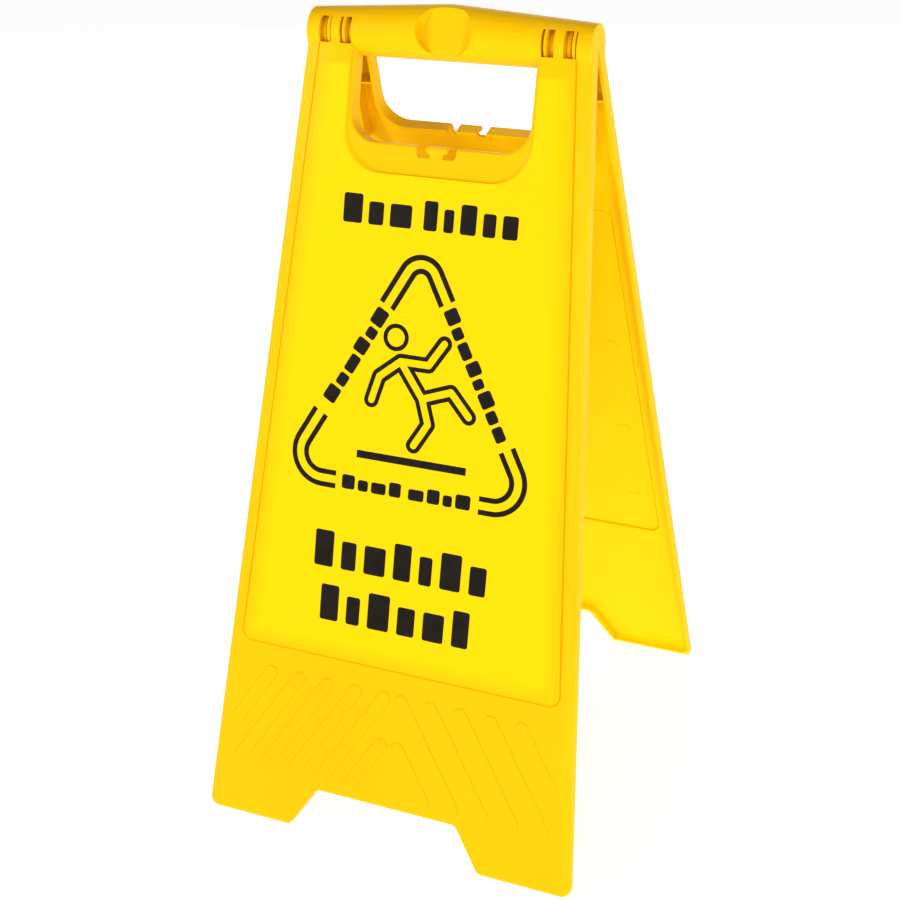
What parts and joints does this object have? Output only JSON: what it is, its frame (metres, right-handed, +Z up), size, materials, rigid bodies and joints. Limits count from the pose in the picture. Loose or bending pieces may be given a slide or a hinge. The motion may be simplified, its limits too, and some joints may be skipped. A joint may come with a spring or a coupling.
{
  "type": "wet floor sign",
  "caption": "Folding A-frame floor sign: alike moulded panels hinged inside a carry-handle barrel, with raised print fields, thumb pockets and arched feet.",
  "frame": {"origin": "middle of the footprint, on the floor", "axes": "+Z up, X along the hinge, -Y towards the front panel's printed side"},
  "size_m": [0.3048, 0.3506, 0.607],
  "materials": {
    "yellow_plastic": "satin as moulded",
    "pin_steel": "drawn"
  },
  "bodies": {
    "front": {"front_panel": "yellow_plastic", "hinge_pin_left": "pin_steel", "hinge_pin_right": "pin_steel"},
    "back": {"back_panel": "yellow_plastic"}
  },
  "joints": [
    {"name": "fold", "type": "hinge", "parent": "front", "child": "back", "pos_m": [0, 0, 0.58377], "axis": [-1, 0, 0], "range_deg": [0, 31]}
  ]
}
